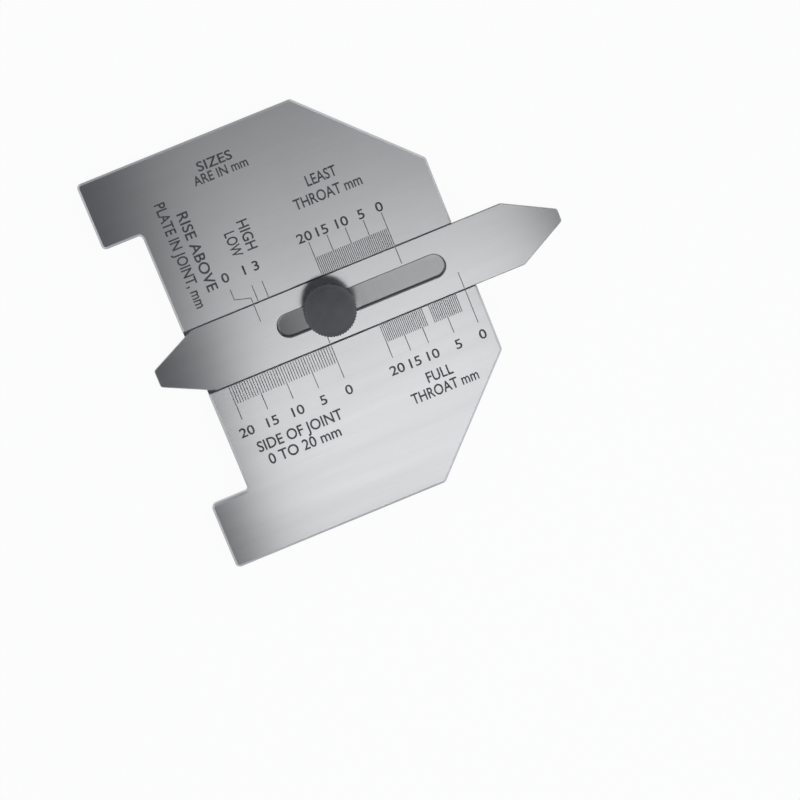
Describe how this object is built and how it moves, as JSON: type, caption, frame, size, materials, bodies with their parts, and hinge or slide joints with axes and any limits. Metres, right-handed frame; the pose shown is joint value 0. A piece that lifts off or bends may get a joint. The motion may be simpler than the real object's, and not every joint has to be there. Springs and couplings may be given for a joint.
{
  "type": "weld gauge",
  "caption": "Flat steel weld size gauge with feet, angled corners, engraved scales, a pointed slider in a channel and a knurled thumb screw that clamps it.",
  "frame": {"origin": "on the plate's back face, on the slider's centre line, midway between the slider's two points at zero", "axes": "+X along the slider from the feet to the angled corners, +Y across the slider, +Z out of the engraved face"},
  "size_m": [0.0788, 0.075, 0.0106],
  "materials": {
    "plate_steel": "brushed along the slider, engraved marks filled dark",
    "slider_steel": "brushed along its length",
    "black_steel": "blackened steel, turned face, knurled edge"
  },
  "bodies": {
    "gauge_plate": {"gauge_plate": "plate_steel"},
    "slider": {"slider": "slider_steel"},
    "thumb_screw": {"thumb_screw": "black_steel"}
  },
  "joints": [
    {"name": "slider_slide", "type": "slide", "parent": "gauge_plate", "child": "slider", "axis": [1, 0, 0], "range_m": [-0.0205, 0.0078]},
    {"name": "thumb_turn", "type": "hinge", "parent": "gauge_plate", "child": "thumb_screw", "pos_m": [-0.00588, 0, 0.0031], "axis": [0, 0, 1], "range_deg": [0, 360]}
  ]
}
